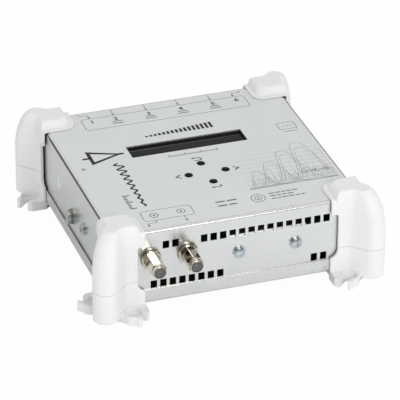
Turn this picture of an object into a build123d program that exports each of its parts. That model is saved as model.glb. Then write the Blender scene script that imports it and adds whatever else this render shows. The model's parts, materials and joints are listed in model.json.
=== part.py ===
from build123d import *
from math import asin, cos, radians, sin, sqrt, tan
import os

# A tv signal amplifier: a folded metal case with coaxial sockets on its front and rear
# walls, held at its four corners by moulded brackets with forked screw slots.
# The origin is under the middle of the case, on the surface that the brackets stand on.
# +Y points to the rear, +X to the right. Lengths are in millimetres.

# Clearances and overrun
fit = 0.3
close_fit = 0.1
seat = 0.05
over = 2.0

# Case
body_width = 185.0
body_depth = 182.0
body_height = 57.0
stand_height = 6.0
sheet = 1.0
bend_radius = 2.0
strip_height = 10.4
nest_gap = 0.1
corner_slit = 0.8
relief_radius = 1.4
film_thickness = 0.2
film_margin = 2.6

# Vents in the front and rear walls
vent_width = 4.8
vent_rise = 5.9
vent_pitch = 7.0
upper_vent_x = -52.8
upper_vent_height = 44.3
lower_vent_x = -61.7
lower_vent_height = 13.9
upper_vent_slots = [0, 1] + list(range(4, 18))
lower_vent_slots = list(range(8)) + [17, 18]
rear_vent_count = 15

# Display window, push buttons and the switches under them
window_width = 87.8
window_depth = 17.4
window_y = 21.3
glass_recess = 2.4
glass_thickness = 1.8
glass_border = 3.4
frame_border = 4.2
module_height = 3.6
key_y = -24.5
key_spread = 13.87
key_radius = 2.8
key_proud = 1.0
key_dome = 0.5
key_flange_radius = 4.0
key_flange_thickness = 1.0
key_flange_drop = 0.3
key_travel = 0.5
key_hole_gap = 0.2
switch_size = 6.0
switch_height = 3.4
plunger_radius = 1.75
plunger_proud = 1.1
plunger_depth = 1.6

# Coaxial sockets
front_socket_insets = [28.5, 55.4]
rear_socket_first = 30.8
rear_socket_last = 29.2
rear_socket_count = 6
socket_height = 35.4
socket_reach = 21.5
barrel_radius = 4.76
barrel_flats = 6
barrel_flat = 4.4
barrel_chamfer = 0.6
barrel_collar = 2.6
thread_relief = 0.8
thread_relief_depth = 0.3
bore_radius = 3.9
bore_recess = 0.5
insulator_length = 14.0
contact_radius = 0.9
contact_slot = 0.45
contact_tail = 5.0
socket_flange_radius = 7.0
socket_flange = 2.0
socket_block_width = 10.4
socket_block_length = 11.0
socket_block_rise = 5.4
socket_nut_flats = 14.0
socket_nut_thickness = 2.8
nut_chamfer = 0.7
socket_washer_radius = 7.5
socket_washer_thickness = 1.0
socket_turns = [9.0, 38.0, 21.0, 47.0, 3.0, 30.0, 14.0, 55.0]
barrel_turns = [30.0, 0.0, 12.0, 44.0, 27.0, 6.0, 51.0, 18.0]

# Boards
board_thickness = 1.6
board_side_gap = 7.5
board_front_gap = 13.0
board_rear_gap = 2.5
key_board_side = 15.1
key_board_depth = 84.0
key_board_y = -0.5
key_board_drop = 9.0
standoff_flats = 5.5
board_screw_radius = 1.5
board_screw_head = 2.9
board_screw_head_height = 2.0
board_hole_inset = 5.0
header_width = 40.0
header_depth = 5.0

# Heat sink behind the front wall
sink_left = -7.0
sink_right = 51.0
sink_depth = 12.0
sink_low = 20.0
sink_top = 42.4
sink_groove = 2.4
sink_screw_x = [1.2, 43.4]
sink_screw_height = 28.5
transistor_width = 10.4
transistor_height = 15.0
transistor_thickness = 4.4

# Case screws
screw_radius = 2.0
screw_length = 7.0
screw_head_radius = 3.7
screw_head_height = 2.3
screw_dish = 0.7
cross_width = 1.0
cross_reach = 2.3
cross_depth = 1.2
screw_washer_radius = 4.8
screw_washer_thickness = 0.8
side_screw_y = -26.6
side_screw_height = 28.7
tab_width = 18.0
tab_rise = 8.0

# Ground terminal on the left wall
ground_y = 0.5
ground_drop = 11.1
ground_radius = 2.5
ground_pitch = 0.8
ground_turns = 2.0
ground_head_radius = 4.75
ground_head_height = 3.0
ground_washer_radius = 6.0
ground_washer_thickness = 1.0
tooth_washer_radius = 5.5
tooth_washer_thickness = 1.2
tooth_count = 12
tooth_depth = 0.9
tooth_width = 0.8
clamp_washer_radius = 5.0
clamp_washer_thickness = 1.0
ground_nut_flats = 8.0
ground_nut_thickness = 4.0
ground_shaft = 13.5

# Power and data sockets at the right wall
jack_y = -45.0
jack_width = 9.0
jack_height = 11.0
jack_length = 13.6
jack_nose_radius = 4.8
jack_nose_proud = 0.4
jack_bore_radius = 3.1
jack_bore_depth = 9.5
jack_pin_radius = 1.0
port_y = 30.0
port_width = 13.1
port_height = 5.7
port_length = 14.0
port_shell = 0.4
port_tongue_thickness = 1.8
port_tongue_gap = 0.7
port_set_back = 0.3
wall_opening_gap = 0.6

# Parts on the main board. Shares are of the board's width and depth, and places from its middle
can_sheet = 0.5
can_headroom = 4.4
can_width_share = 0.37
can_depth_share = 0.28
can_x_shares = [-0.262, 0.19]
can_y_share = 0.248
small_can_width_share = 0.18
small_can_depth_share = 0.207
small_can_x_share = -0.31
small_can_y_share = -0.166
capacitor_radius = 5.0
capacitor_headroom = 3.9
capacitor_x_share = 0.345
capacitor_y_shares = [-0.166, -0.09, -0.014, 0.062]
coil_radius = 4.5
coil_hole_radius = 2.0
coil_height = 5.0
coil_x_shares = [-0.107, -0.03, 0.047, 0.124]
coil_y_share = -0.129
chip_size = 10.0
chip_height = 1.4
chip_x_shares = [-0.083, 0.012, 0.107]
chip_y_share = -0.397
header_y_share = -0.269

# Corner brackets: places are measured outward and inward from the case's corner
lobe_centre = 6.3
lobe_radius = 9.2
wing_skin = 3.2
wing_gap = 1.3
wing_gap_length = 8.0
valley_radius = 8.0
window_reach = 18.2
window_low = 11.5
window_high = 47.0
window_low_radius = 7.0
window_high_radius = 2.0
cap_reach = 23.6
flange_thickness = 1.0
flange_round = 9.0
shoulder_round = 2.2
dome_reach = 20.4
dome_round = 6.5
dome_edge = 2.0
dome_height = 64.2
wing_lap = 1.0
parting_height = 19.8
parting_gap = 0.2
bore_height = 42.0
# The lobe leans in along a quarter ellipse that starts upright at lean_start
lean_start = 31.0
lean_rise = 34.0
lean_depth = 15.0
lean_steps = 6
foot_reach = 23.6
foot_round = 6.0
foot_floor = 3.0
spigot_height = 9.0
lobe_wall = 2.4
spigot_wall = 1.8
# Shares of the lean that the lobe's radius and its centre take, and how far the wing's face
# and the dome's reach have come in at the top, as shares of the lobe's radius
radius_lean_share = 0.3
centre_lean_share = 0.55
wing_lean_share = 0.27
reach_lean_share = 0.4

# Forked screw slots of the feet, measured across and along the corner's diagonal
fork_length = 25.2
fork_outer = 4.9
fork_inner = 16.0
fork_thickness = 7.0
slot_width = 6.3
slot_depth = 8.7
slot_shift = 1.25
pocket_radius = 6.0
pocket_wall = 1.2
pocket_depth = 3.4
prong_round = 1.2

# Values worked out from the ones above
half_width = body_width / 2
half_depth = body_depth / 2
lid_top = stand_height + body_height
lid_under = lid_top - sheet
film_top = lid_top + film_thickness
socket_z = stand_height + socket_height
board_top = socket_z - socket_block_rise
ground_height = socket_height - ground_drop
board_under = board_top - board_thickness
key_board_top = lid_under - key_board_drop
key_board_under = key_board_top - board_thickness
key_board_width = window_width + 2 * key_board_side
wall_inside_x = half_width - sheet
wall_inside_y = half_depth - sheet
front_socket_x = [inset - half_width for inset in front_socket_insets]
rear_socket_x = rear_socket_first - half_width
rear_socket_pitch = (body_width - rear_socket_first - rear_socket_last) / (rear_socket_count - 1)
board_width = 2 * (wall_inside_x - board_side_gap)
board_front = board_front_gap - wall_inside_y
board_depth = 2 * wall_inside_y - board_front_gap - board_rear_gap
board_middle_y = board_front + board_depth / 2
can_height = key_board_under - board_top - can_headroom
capacitor_height = key_board_under - board_top - capacitor_headroom
glass_top = lid_top - glass_recess
switch_top = key_board_top + switch_height
plunger_top = switch_top + plunger_proud
key_places = {
    "back": (0, key_y + key_spread),
    "enter": (0, key_y - key_spread),
    "left": (-key_spread, key_y),
    "right": (key_spread, key_y),
}
corners = {
    "front_left": (-1, -1),
    "front_right": (1, -1),
    "rear_left": (-1, 1),
    "rear_right": (1, 1),
}


def block(x, y, z):
    """A box between pairs of coordinates."""
    size = [high - low for low, high in (x, y, z)]
    middle = [(high + low) / 2 for low, high in (x, y, z)]
    return Pos(*middle) * Box(*size)


def span(middle, size):
    return (middle - size / 2, middle + size / 2)


def rod(start, direction, length, radius):
    """A round bar from a point along a direction."""
    plane = Plane(origin=start, z_dir=direction)
    return plane * Pos(0, 0, length / 2) * Cylinder(radius, length)


def hex_bar(start, direction, length, flats, turn=0):
    plane = Plane(origin=start, z_dir=direction)
    outline = RegularPolygon(flats / 2, 6, major_radius=False, rotation=turn)
    return extrude(plane * outline, length)


def ring(start, direction, length, outer, inner):
    return rod(start, direction, length, outer) - rod(start, direction, length, inner)


def group(solids):
    return Compound(children=[solid for part in solids for solid in part.solids()])


def write(name, shape):
    export_step(shape, "parts/" + name + ".step")


def socket_places(turns=socket_turns):
    """Start point and outward direction of each coaxial socket, with its turn."""
    places = [((x, -half_depth, socket_z), (0, -1, 0)) for x in front_socket_x]
    for index in range(rear_socket_count):
        x = rear_socket_x + rear_socket_pitch * index
        places.append(((x, half_depth, socket_z), (0, 1, 0)))
    return [(start, out, turn) for (start, out), turn in zip(places, turns)]


def along(start, direction, distance):
    return tuple(a + b * distance for a, b in zip(start, direction))


def vent_row(first_x, slots, height, y):
    middle = stand_height + height
    cuts = []
    for slot in slots:
        x = first_x + vent_pitch * slot
        cuts.append(block(span(x, vent_width), span(y, 2 * over), span(middle, vent_rise)))
    return cuts


def top_cover():
    """Folded lid with four walls, slit at the corners, that stands inside the tray's rim."""
    low = stand_height + sheet + nest_gap
    height = lid_top - low
    outer = Pos(0, 0, low + height / 2) * Box(body_width, body_depth, height)
    outer = fillet(outer.edges().group_by(Axis.Z)[-1], bend_radius)
    inner = block((-wall_inside_x, wall_inside_x), (-wall_inside_y, wall_inside_y), (low - over, lid_under))
    inner = fillet(inner.edges().group_by(Axis.Z)[-1], bend_radius - sheet)
    cover = outer - inner
    cuts = []
    slit_x = wall_inside_x - corner_slit
    for sx, sy in corners.values():
        x = sorted((sx * slit_x, sx * (slit_x + corner_slit)))
        y = sorted((sy * wall_inside_y, sy * (half_depth + over)))
        cuts.append(block(x, y, (low - over, lid_top - bend_radius)))
        cuts.append(rod((sx * half_width, sy * half_depth, lid_top - bend_radius),
                        (0, 0, 1), bend_radius + over, relief_radius))
    cuts += vent_row(upper_vent_x, upper_vent_slots, upper_vent_height, -half_depth)
    cuts += vent_row(lower_vent_x, lower_vent_slots, lower_vent_height, -half_depth)
    first_rear = -vent_pitch * (rear_vent_count - 1) / 2
    cuts += vent_row(first_rear, range(rear_vent_count), lower_vent_height, half_depth)
    cuts.append(block(span(0, window_width), span(window_y, window_depth), span(lid_top, 2 * over)))
    hole = key_radius + key_hole_gap
    for x, y in key_places.values():
        cuts.append(rod((x, y, lid_under - over), (0, 0, 1), sheet + 2 * over, hole))
    for start, out, turn in socket_places():
        cuts.append(rod(along(start, out, -over), out, 2 * over, barrel_radius + close_fit))
    for x in sink_screw_x:
        cuts.append(rod((x, -half_depth - over, stand_height + sink_screw_height),
                        (0, 1, 0), 2 * over, screw_radius + close_fit))
    for side in (-1, 1):
        cuts.append(rod((side * (half_width + over), side_screw_y, stand_height + side_screw_height),
                        (-side, 0, 0), 2 * over, screw_radius + close_fit))
    cuts.append(rod((-half_width - over, ground_y, stand_height + ground_height),
                    (1, 0, 0), 2 * over, ground_radius + close_fit))
    jack_z = board_top + jack_height / 2
    cuts.append(rod((half_width + over, jack_y, jack_z), (-1, 0, 0), 2 * over,
                    jack_nose_radius + wall_opening_gap))
    port_z = board_top + port_height / 2
    cuts.append(block(span(half_width, 2 * over), span(port_y, port_width + 2 * wall_opening_gap),
                      span(port_z, port_height + 2 * wall_opening_gap)))
    for cut in cuts:
        cover -= cut
    return cover


def label_film():
    """Printed film on the lid, clear of the bends, the window and the keys."""
    film = block(span(0, body_width - 2 * film_margin), span(0, body_depth - 2 * film_margin),
                 (lid_top, film_top))
    film -= block(span(0, window_width), span(window_y, window_depth), span(lid_top, 2 * over))
    for x, y in key_places.values():
        film -= rod((x, y, lid_top - over), (0, 0, 1), 2 * over, key_radius + key_hole_gap)
    return film


def bottom_tray():
    """Tray whose rim holds the walls from outside, with a tab up behind each side screw."""
    x = half_width + nest_gap
    y = half_depth + nest_gap
    top = stand_height + strip_height
    tray = block((-x - sheet, x + sheet), (-y - sheet, y + sheet), (stand_height, top))
    tray = fillet(tray.edges().group_by(Axis.Z)[0], bend_radius)
    tray -= block((-x, x), (-y, y), (stand_height + sheet, top + over))
    tab_top = stand_height + side_screw_height + tab_rise
    tab_face = wall_inside_x - nest_gap
    for side in (-1, 1):
        reach = sorted((side * tab_face, side * (tab_face - sheet)))
        tab = block(reach, span(side_screw_y, tab_width), (stand_height + sheet / 2, tab_top))
        tab = fillet(tab.edges().filter_by(Axis.X).group_by(Axis.Z)[-1], 2 * bend_radius)
        tray += tab
        tray -= rod((side * (tab_face + over), side_screw_y, stand_height + side_screw_height),
                    (-side, 0, 0), sheet + 2 * over, screw_radius + close_fit)
    for px, py in board_holes():
        tray -= rod((px, py, stand_height - over), (0, 0, 1), sheet + 2 * over, board_screw_radius)
    return tray


def crown_arc(radius, rim, top):
    """Arc of a turned dome, from its rim to the axis."""
    drop = top - rim
    sphere = (radius ** 2 + drop ** 2) / (2 * drop)
    middle = top - sphere + sqrt(sphere ** 2 - radius ** 2 / 4)
    return ThreePointArc((radius, rim), (radius / 2, middle), (0, top))


def pan_head(start, out, head_radius, head_height, shaft_radius, shaft_length):
    """Pan head screw with a cross recess: start is under the head, out points to its top."""
    rise = head_height - screw_dish
    profile = Polyline((0, -shaft_length), (shaft_radius, -shaft_length), (shaft_radius, 0),
                       (head_radius, 0), (head_radius, rise))
    crown = crown_arc(head_radius, rise, head_height)
    closing = Line((0, head_height), (0, -shaft_length))
    solid = revolve(make_face(Plane.XZ * (profile + crown + closing)), Axis.Z)
    reach = cross_reach * head_radius / screw_head_radius
    for turn in (0, 90):
        cut = Box(2 * reach, cross_width, 2 * cross_depth)
        solid -= Pos(0, 0, head_height) * Rot(0, 0, turn) * cut
    return Plane(origin=start, z_dir=out) * solid


def socket_body(start, out, turn):
    """Barrel with six flats, flange behind the wall and block on the board."""
    clear = socket_washer_thickness + socket_nut_thickness
    relief = barrel_radius - thread_relief_depth
    profile = Polyline((0, -sheet - socket_flange), (socket_flange_radius, -sheet - socket_flange),
                       (socket_flange_radius, -sheet), (barrel_radius, -sheet), (barrel_radius, clear),
                       (relief, clear), (relief, clear + thread_relief),
                       (barrel_radius, clear + thread_relief),
                       (barrel_radius, socket_reach - barrel_collar),
                       (barrel_radius - seat, socket_reach - barrel_collar),
                       (barrel_radius - seat, socket_reach - barrel_chamfer),
                       (barrel_radius - barrel_chamfer, socket_reach), (0, socket_reach),
                       (0, -sheet - socket_flange))
    barrel = revolve(make_face(Plane.XZ * profile), Axis.Z)
    flat = block((barrel_flat, barrel_flat + over), span(0, 2 * barrel_radius),
                 (-sheet, socket_reach - barrel_collar))
    for index in range(barrel_flats):
        barrel -= Rot(0, 0, turn + 360 * index / barrel_flats) * flat
    barrel -= rod((0, 0, socket_reach - insulator_length), (0, 0, 1), insulator_length + over, bore_radius)
    barrel -= rod((0, 0, -sheet - socket_flange - over), (0, 0, 1), socket_reach, contact_radius + close_fit)
    barrel = Plane(origin=start, z_dir=out) * barrel
    rear = along(start, out, -sheet - socket_flange)
    far = along(rear, out, -socket_block_length)
    body = block(span(start[0], socket_block_width), sorted((rear[1], far[1])),
                 (board_top, socket_z + socket_block_rise))
    body -= rod(rear, along((0, 0, 0), out, -1), socket_block_length, contact_radius + close_fit)
    return barrel + body


def socket_insulator(start, out, turn):
    plug = ring((0, 0, socket_reach - insulator_length), (0, 0, 1), insulator_length - bore_recess,
                bore_radius, contact_radius)
    return Plane(origin=start, z_dir=out) * plug


def socket_contact(start, out, turn):
    """Spring contact in the insulator, with its tail running back to the board."""
    length = socket_reach + sheet + socket_flange + contact_tail - 2 * bore_recess
    tail = -sheet - socket_flange - contact_tail
    pin = rod((0, 0, tail), (0, 0, 1), length, contact_radius)
    pin -= block((-over, over), span(0, contact_slot), (tail + length - over, tail + length + over))
    return Plane(origin=start, z_dir=out) * pin


def chamfered_nut(flats, thickness, hole, chamfer_size, turn):
    """Hex nut with both faces turned to a cone."""
    nut = hex_bar((0, 0, 0), (0, 0, 1), thickness, flats, turn)
    corner = flats / sqrt(3)
    profile = Polyline((0, 0), (corner - chamfer_size, 0), (corner, chamfer_size * tan(radians(30))),
                       (corner, thickness - chamfer_size * tan(radians(30))),
                       (corner - chamfer_size, thickness), (0, thickness), (0, 0))
    nut = nut & revolve(make_face(Plane.XZ * profile), Axis.Z)
    return nut - rod((0, 0, -over), (0, 0, 1), thickness + 2 * over, hole)


def socket_nut(start, out, turn):
    nut = chamfered_nut(socket_nut_flats, socket_nut_thickness, barrel_radius + seat, nut_chamfer, turn)
    return Plane(origin=along(start, out, socket_washer_thickness), z_dir=out) * nut


def socket_washer(start, out, turn):
    return ring(start, out, socket_washer_thickness, socket_washer_radius, barrel_radius + close_fit)


def board_holes():
    """Hole places of the main board's stand-offs."""
    x = board_width / 2 - board_hole_inset
    near = board_front + board_hole_inset
    far = near + board_depth - 2 * board_hole_inset
    return [(-x, near), (x, near), (-x, far), (x, far), (-x, (near + far) / 2), (x, (near + far) / 2)]


def main_board():
    """Board on its stand-offs, notched for the heat sink and reaching the sockets."""
    board = block(span(0, board_width), (board_front, board_front + board_depth), (board_under, board_top))
    front_edge = -wall_inside_y + socket_flange + close_fit
    tongue = (min(front_socket_x) - socket_block_width, max(front_socket_x) + socket_block_width)
    board += block(tongue, (front_edge, board_front + over), (board_under, board_top))
    for x, y in board_holes():
        board -= rod((x, y, board_under - over), (0, 0, 1), board_thickness + 2 * over, board_screw_radius)
    return board


def standoffs(places, low, high):
    posts = []
    for x, y in places:
        post = hex_bar((x, y, low), (0, 0, 1), high - low, standoff_flats)
        posts.append(post - rod((x, y, low), (0, 0, 1), high - low, board_screw_radius))
    return group(posts)


def board_screws(places, plate, out, depth):
    """Screws through a plate: out points from the plate to the head."""
    screws = []
    for x, y in places:
        screws.append(pan_head((x, y, plate), out, board_screw_head, board_screw_head_height,
                               board_screw_radius - seat, depth))
    return group(screws)


def key_board_holes():
    x = key_board_width / 2 - board_hole_inset
    y = key_board_depth / 2 - board_hole_inset
    return [(sx * x, key_board_y + sy * y) for sx, sy in corners.values()]


def key_board():
    board = block(span(0, key_board_width), span(key_board_y, key_board_depth),
                  (key_board_under, key_board_top))
    for x, y in key_board_holes():
        board -= rod((x, y, key_board_under - over), (0, 0, 1), board_thickness + 2 * over,
                     board_screw_radius)
    return board


def display_frame():
    """Black surround between the lid and the glass."""
    outer = block(span(0, window_width + 2 * frame_border), span(window_y, window_depth + 2 * frame_border),
                  (glass_top, lid_under))
    return outer - block(span(0, window_width), span(window_y, window_depth), span(glass_top, 2 * over))


def display_glass():
    return block(span(0, window_width + 2 * glass_border), span(window_y, window_depth + 2 * glass_border),
                 (glass_top - glass_thickness, glass_top))


def display_module():
    high = glass_top - glass_thickness
    return block(span(0, window_width + 2 * frame_border), span(window_y, window_depth + 2 * frame_border),
                 (key_board_top, high))


def key_switch(x, y):
    body = block(span(x, switch_size), span(y, switch_size), (key_board_top, switch_top))
    depth = plunger_depth + key_travel + close_fit
    return body - rod((x, y, switch_top - depth), (0, 0, 1), depth + over, plunger_radius + close_fit)


def key_plunger(x, y):
    return rod((x, y, switch_top - plunger_depth), (0, 0, 1), plunger_depth + plunger_proud, plunger_radius)


def key_cap(x, y):
    """Cap with a holding flange under the lid and a domed top."""
    top = film_top + key_proud
    flange_top = lid_under - key_flange_drop
    flange_low = flange_top - key_flange_thickness
    profile = Polyline((0, plunger_top), (plunger_radius, plunger_top), (plunger_radius, flange_low),
                       (key_flange_radius, flange_low), (key_flange_radius, flange_top),
                       (key_radius, flange_top), (key_radius, top - key_dome))
    crown = crown_arc(key_radius, top - key_dome, top)
    closing = Line((0, top), (0, plunger_top))
    cap = revolve(make_face(Plane.XZ * (profile + crown + closing)), Axis.Z)
    return Pos(x, y, 0) * cap


def heat_sink():
    """Metal block behind the front wall, grooved along its back."""
    front = -wall_inside_y
    low = stand_height + sink_low
    high = stand_height + sink_top
    sink = block((sink_left, sink_right), (front, front + sink_depth), (low, high))
    for x in sink_screw_x:
        sink -= rod((x, front, stand_height + sink_screw_height), (0, 1, 0), screw_length,
                    screw_radius)
    pitch = (high - low) / 4
    for step in (1, 3):
        z = low + pitch * step
        if abs(z - stand_height - sink_screw_height) > 0:
            sink -= block((sink_left - over, sink_right + over),
                          (front + sink_depth - sink_groove, front + sink_depth + over),
                          span(z, sink_groove))
    return sink


def power_transistor():
    front = -wall_inside_y + sink_depth
    x = (sink_left + sink_right) / 2
    low = board_top
    case = block(span(x, transistor_width), (front, front + transistor_thickness),
                 (low, low + transistor_height))
    edges = case.edges().filter_by(Axis.X).group_by(Axis.Z)[-1]
    return chamfer(edges, transistor_thickness / 4)


def case_screw(start, out):
    head = along(start, out, screw_washer_thickness)
    return pan_head(head, out, screw_head_radius, screw_head_height, screw_radius - seat,
                    screw_length - over + screw_washer_thickness)


def case_washer(start, out):
    return ring(start, out, screw_washer_thickness, screw_washer_radius, screw_radius)


def ground_levels():
    """Distances from the wall to the start of each piece of the ground terminal."""
    plain = ground_washer_thickness
    tooth = plain + tooth_washer_thickness
    clamp = tooth + clamp_washer_thickness
    return plain, tooth, clamp


def ground_start():
    return (-half_width, ground_y, stand_height + ground_height)


def ground_base_washer():
    return ring(ground_start(), (-1, 0, 0), ground_washer_thickness, ground_washer_radius,
                ground_radius + fit)


def ground_clamp_washers():
    """Toothed washer and plain clamp washer that follow the screw head."""
    plain, tooth, clamp = ground_levels()
    out = (-1, 0, 0)
    toothed = ring(along(ground_start(), out, plain), out, tooth_washer_thickness,
                   tooth_washer_radius, ground_radius + fit)
    plane = Plane(origin=along(ground_start(), out, plain), z_dir=out)
    for index in range(tooth_count):
        cut = block((tooth_washer_radius - tooth_depth, tooth_washer_radius + over),
                    span(0, tooth_width), (-over, tooth_washer_thickness + over))
        toothed -= plane * (Rot(0, 0, 360 * index / tooth_count) * cut)
    flat = ring(along(ground_start(), out, tooth), out, clamp_washer_thickness,
                clamp_washer_radius, ground_radius + fit)
    return group([toothed, flat])


def ground_screw():
    plain, tooth, clamp = ground_levels()
    return pan_head(along(ground_start(), (-1, 0, 0), clamp), (-1, 0, 0), ground_head_radius,
                    ground_head_height, ground_radius, ground_shaft)


def ground_nut():
    nut = chamfered_nut(ground_nut_flats, ground_nut_thickness, ground_radius + close_fit,
                        nut_chamfer, 0)
    return Plane(origin=(-wall_inside_x, ground_y, stand_height + ground_height), z_dir=(1, 0, 0)) * nut


def power_jack():
    """Moulded jack on the board's edge, its round nose in the wall's hole."""
    inner = wall_inside_x - seat
    z = board_top + jack_height / 2
    jack = block((inner - jack_length, inner), span(jack_y, jack_width),
                 (board_top, board_top + jack_height))
    nose_end = half_width + jack_nose_proud
    jack += rod((inner - over, jack_y, z), (1, 0, 0), nose_end - inner + over,
                min(jack_nose_radius, jack_height / 2))
    return jack - rod((nose_end - jack_bore_depth, jack_y, z), (1, 0, 0), jack_bore_depth + over,
                      jack_bore_radius)


def jack_pin():
    start = half_width + jack_nose_proud - jack_bore_depth
    pin = rod((start, jack_y, board_top + jack_height / 2), (1, 0, 0), jack_bore_depth - 2 * fit,
              jack_pin_radius)
    tip = pin.edges().group_by(Axis.X)[-1]
    return chamfer(tip, jack_pin_radius / 3)


def data_port():
    """Rolled metal shell of the data socket."""
    end = half_width - port_set_back
    shell = block((end - port_length, end), span(port_y, port_width), (board_top, board_top + port_height))
    shell = fillet(shell.edges().filter_by(Axis.X), 2 * port_shell)
    hollow = block((end - port_length + port_shell, end + over), span(port_y, port_width - 2 * port_shell),
                   (board_top + port_shell, board_top + port_height - port_shell))
    return shell - hollow


def data_port_tongue():
    end = half_width - port_set_back
    high = board_top + port_height - port_shell - port_tongue_gap
    return block((end - port_length + port_shell, end - port_tongue_gap),
                 span(port_y, port_width - 2 * port_shell - 2 * port_tongue_gap),
                 (high - port_tongue_thickness, high))


def shield_can(x, y, width, depth):
    can = block(span(x, width), span(y, depth), (board_top, board_top + can_height))
    can = fillet(can.edges().filter_by(Axis.Z), 2 * can_sheet)
    return can - block(span(x, width - 2 * can_sheet), span(y, depth - 2 * can_sheet),
                       (board_top - over, board_top + can_height - can_sheet))


def on_board(x_share, y_share):
    """A place on the main board, as shares of its size from its middle."""
    return x_share * board_width, board_middle_y + y_share * board_depth


def shield_cans():
    width = can_width_share * board_width
    depth = can_depth_share * board_depth
    cans = [shield_can(*on_board(share, can_y_share), width, depth) for share in can_x_shares]
    cans.append(shield_can(*on_board(small_can_x_share, small_can_y_share),
                           small_can_width_share * board_width, small_can_depth_share * board_depth))
    return group(cans)


def capacitors():
    cans = []
    for share in capacitor_y_shares:
        x, y = on_board(capacitor_x_share, share)
        can = rod((x, y, board_top), (0, 0, 1), capacitor_height, capacitor_radius)
        cans.append(fillet(can.edges().group_by(Axis.Z)[-1], capacitor_radius / 6))
    return group(cans)


def coils():
    cores = []
    for share in coil_x_shares:
        x, y = on_board(share, coil_y_share)
        core = ring((x, y, board_top), (0, 0, 1), coil_height, coil_radius, coil_hole_radius)
        cores.append(fillet(core.edges().group_by(Axis.Z)[-1], coil_hole_radius / 3))
    return group(cores)


def chips():
    places = [on_board(share, chip_y_share) for share in chip_x_shares]
    return group([block(span(x, chip_size), span(y, chip_size), (board_top, board_top + chip_height))
                  for x, y in places])


def board_header():
    x, y = on_board(0, header_y_share)
    return block(span(x, header_width), span(y, header_depth), (board_top, key_board_under))


def bracket_outline(height, reach, inner_round, lean=0, wing_lean=0):
    """Plan outline of a bracket at a level. The case's corner is the origin, outward is positive."""
    skin = wing_skin - wing_lean
    radius = lobe_radius - radius_lean_share * lean
    centre = lobe_centre - centre_lean_share * lean
    half = sqrt(2) / 2
    flank = radius * sqrt(2)
    turn_length = valley_radius * tan(radians(22.5))
    bend = skin - flank - turn_length
    valley_a = (bend, skin)
    valley_mid = (bend + valley_radius * sin(radians(22.5)),
                  skin + valley_radius * (1 - cos(radians(22.5))))
    valley_b = (bend + valley_radius * half, skin + valley_radius * (1 - half))
    lobe_a = (centre - radius * half, centre + radius * half)
    lobe_mid = (centre + radius * half, centre + radius * half)
    inner_mid = -reach + inner_round * (1 - half)
    edges = [
        Line((-reach, skin), valley_a),
        ThreePointArc(valley_a, valley_mid, valley_b),
        Line(valley_b, lobe_a),
        ThreePointArc(lobe_a, lobe_mid, lobe_a[::-1]),
        Line(lobe_a[::-1], valley_b[::-1]),
        ThreePointArc(valley_b[::-1], valley_mid[::-1], valley_a[::-1]),
        Line(valley_a[::-1], (skin, -reach)),
        Line((skin, -reach), (-reach + inner_round, -reach)),
        ThreePointArc((-reach + inner_round, -reach), (inner_mid, inner_mid),
                      (-reach, -reach + inner_round)),
        Line((-reach, -reach + inner_round), (-reach, skin)),
    ]
    return Pos(0, 0, height) * make_face(Curve() + edges)


def across(shape):
    """The same shape on the corner's other wall."""
    return mirror(shape, Plane(origin=(0, 0, 0), z_dir=(1, -1, 0)))


def case_envelope(low, high, gap=fit):
    """Space of the case inside a bracket, with its clearance."""
    far = -2 * cap_reach
    return block((far, gap), (far, gap), (low, high))


def bracket_window():
    """Opening between the brackets over a wall, with rounded corners."""
    low = stand_height + window_low
    high = stand_height + window_high
    far = -2 * cap_reach
    edge = -window_reach
    half = sqrt(2) / 2
    r = window_low_radius
    s = window_high_radius
    outline = [
        Line((far, low), (edge - r, low)),
        ThreePointArc((edge - r, low), (edge - r + r * half, low + r - r * half), (edge, low + r)),
        Line((edge, low + r), (edge, high - s)),
        ThreePointArc((edge, high - s), (edge - s + s * half, high - s + s * half), (edge - s, high)),
        Line((edge - s, high), (far, high)),
        Line((far, high), (far, low)),
    ]
    face = make_face(Curve() + outline)
    plane = Plane(origin=(0, -over, 0), x_dir=(1, 0, 0), z_dir=(0, -1, 0))
    return extrude(plane * face, -(2 * over + wing_skin + over))


def wing_relief(low, high):
    """Gap between the wing's edge and the wall."""
    edge = -window_reach + wing_gap_length
    return block((-2 * cap_reach, edge), (0, wing_gap), (low, high))


def cap_flange():
    """Ends of the two wings and the flange on the lid, rounded where the walls turn on to it."""
    parting = stand_height + parting_height
    top = film_top + fit + flange_thickness
    wing = block((-cap_reach, wing_lap - dome_reach), (-cap_reach, wing_skin), (parting, top))
    outer = wing.edges().filter_by(Axis.X).group_by(Axis.Z)[-1].sort_by(Axis.Y)[-1]
    wing = fillet(outer, shoulder_round)
    centre = flange_round - cap_reach
    flange = wing + across(wing)
    flange += block((-cap_reach, centre), (-cap_reach, centre), (film_top, top))
    waste = block((-cap_reach - over, centre), (-cap_reach - over, centre), (parting - over, top + over))
    waste -= rod((centre, centre, parting - over), (0, 0, 1), top - parting + 2 * over, flange_round)
    return flange - waste


def cap_lobe():
    """Upright lobe of a cap, then its lean over the lid's corner into a dome."""
    start = stand_height + lean_start
    parting = stand_height + parting_height
    upright = extrude(bracket_outline(parting, dome_reach, dome_round), start - parting)
    last = asin((dome_height - lean_start) / lean_rise)
    deepest = lean_depth * (1 - cos(last))
    sections = []
    for step in range(lean_steps + 1):
        angle = last * step / lean_steps
        lean = lean_depth * (1 - cos(angle))
        closing = lobe_radius * (lean / deepest) ** 3
        sections.append(bracket_outline(start + lean_rise * sin(angle),
                                        dome_reach - reach_lean_share * closing, dome_round,
                                        lean, wing_lean_share * closing))
    dome = loft(sections)
    return upright + fillet(dome.edges().group_by(Axis.Z)[-1], dome_edge)


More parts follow.
